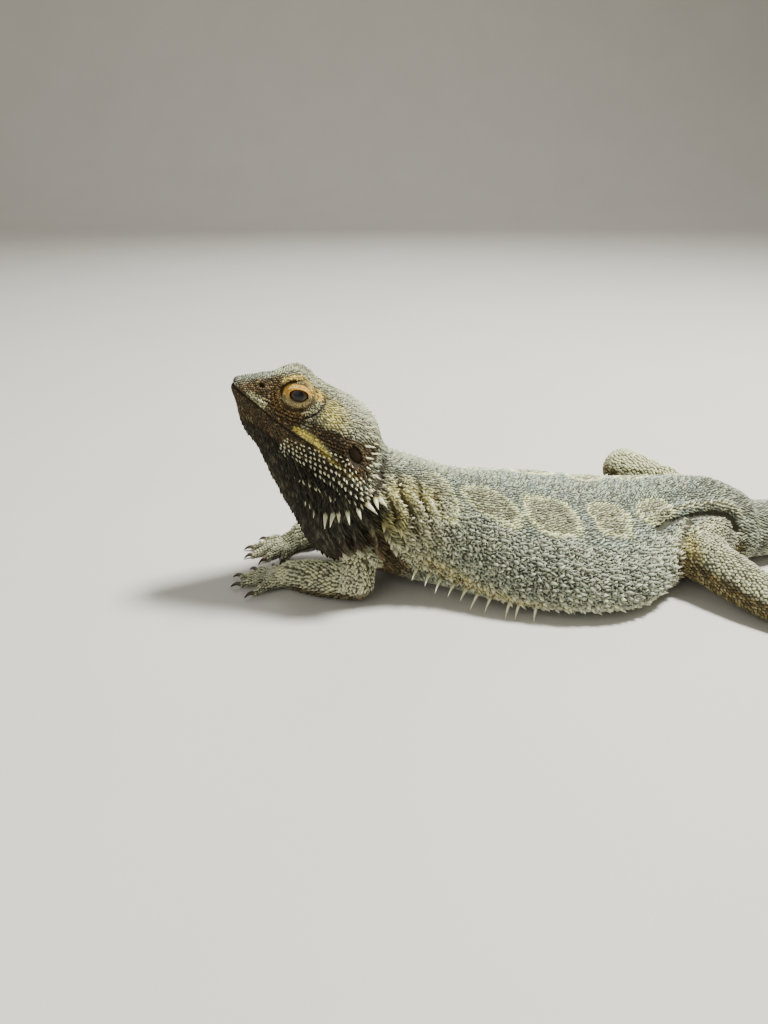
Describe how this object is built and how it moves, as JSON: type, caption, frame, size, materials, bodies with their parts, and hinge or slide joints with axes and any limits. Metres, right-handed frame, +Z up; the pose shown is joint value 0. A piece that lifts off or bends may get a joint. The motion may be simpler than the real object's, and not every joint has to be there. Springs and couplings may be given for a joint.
{
  "type": "bearded dragon",
  "caption": "Life-size still model of an adult bearded dragon basking on its belly, head raised, dark beard puffed, legs folded and tail laid back along the floor.",
  "frame": {"origin": "centre of the underside of the bounding box, on the floor", "axes": "+X runs from the snout to the tail, -Y is the animal's left side, +Z is up"},
  "size_m": [0.467, 0.198, 0.0911],
  "materials": {
    "skin": "rough grey scales",
    "face": "small yellow-brown scales",
    "beard": "black spiny scales",
    "eye": "wet gloss",
    "eardrum": "thin smooth skin",
    "claw": "horn"
  },
  "bodies": {
    "root": {"head": "face", "jaw": "face", "beard": "beard", "neck": "skin", "chest": "skin", "trunk": "skin", "hips": "skin", "tail_base": "skin", "tail_middle": "skin", "tail_end": "skin", "eye_left": "eye", "eye_right": "eye", "eardrum_left": "eardrum", "eardrum_right": "eardrum", "upper_arm_left": "skin", "forearm_left": "skin", "hand_left": "skin", "claw_front_left_1": "claw", "claw_front_left_2": "claw", "claw_front_left_3": "claw", "claw_front_left_4": "claw", "claw_front_left_5": "claw", "upper_arm_right": "skin", "forearm_right": "skin", "hand_right": "skin", "claw_front_right_1": "claw", "claw_front_right_2": "claw", "claw_front_right_3": "claw", "claw_front_right_4": "claw", "claw_front_right_5": "claw", "thigh_left": "skin", "shin_left": "skin", "foot_left": "skin", "claw_rear_left_1": "claw", "claw_rear_left_2": "claw", "claw_rear_left_3": "claw", "claw_rear_left_4": "claw", "claw_rear_left_5": "claw", "thigh_right": "skin", "shin_right": "skin", "foot_right": "skin", "claw_rear_right_1": "claw", "claw_rear_right_2": "claw", "claw_rear_right_3": "claw", "claw_rear_right_4": "claw", "claw_rear_right_5": "claw"}
  },
  "joints": []
}
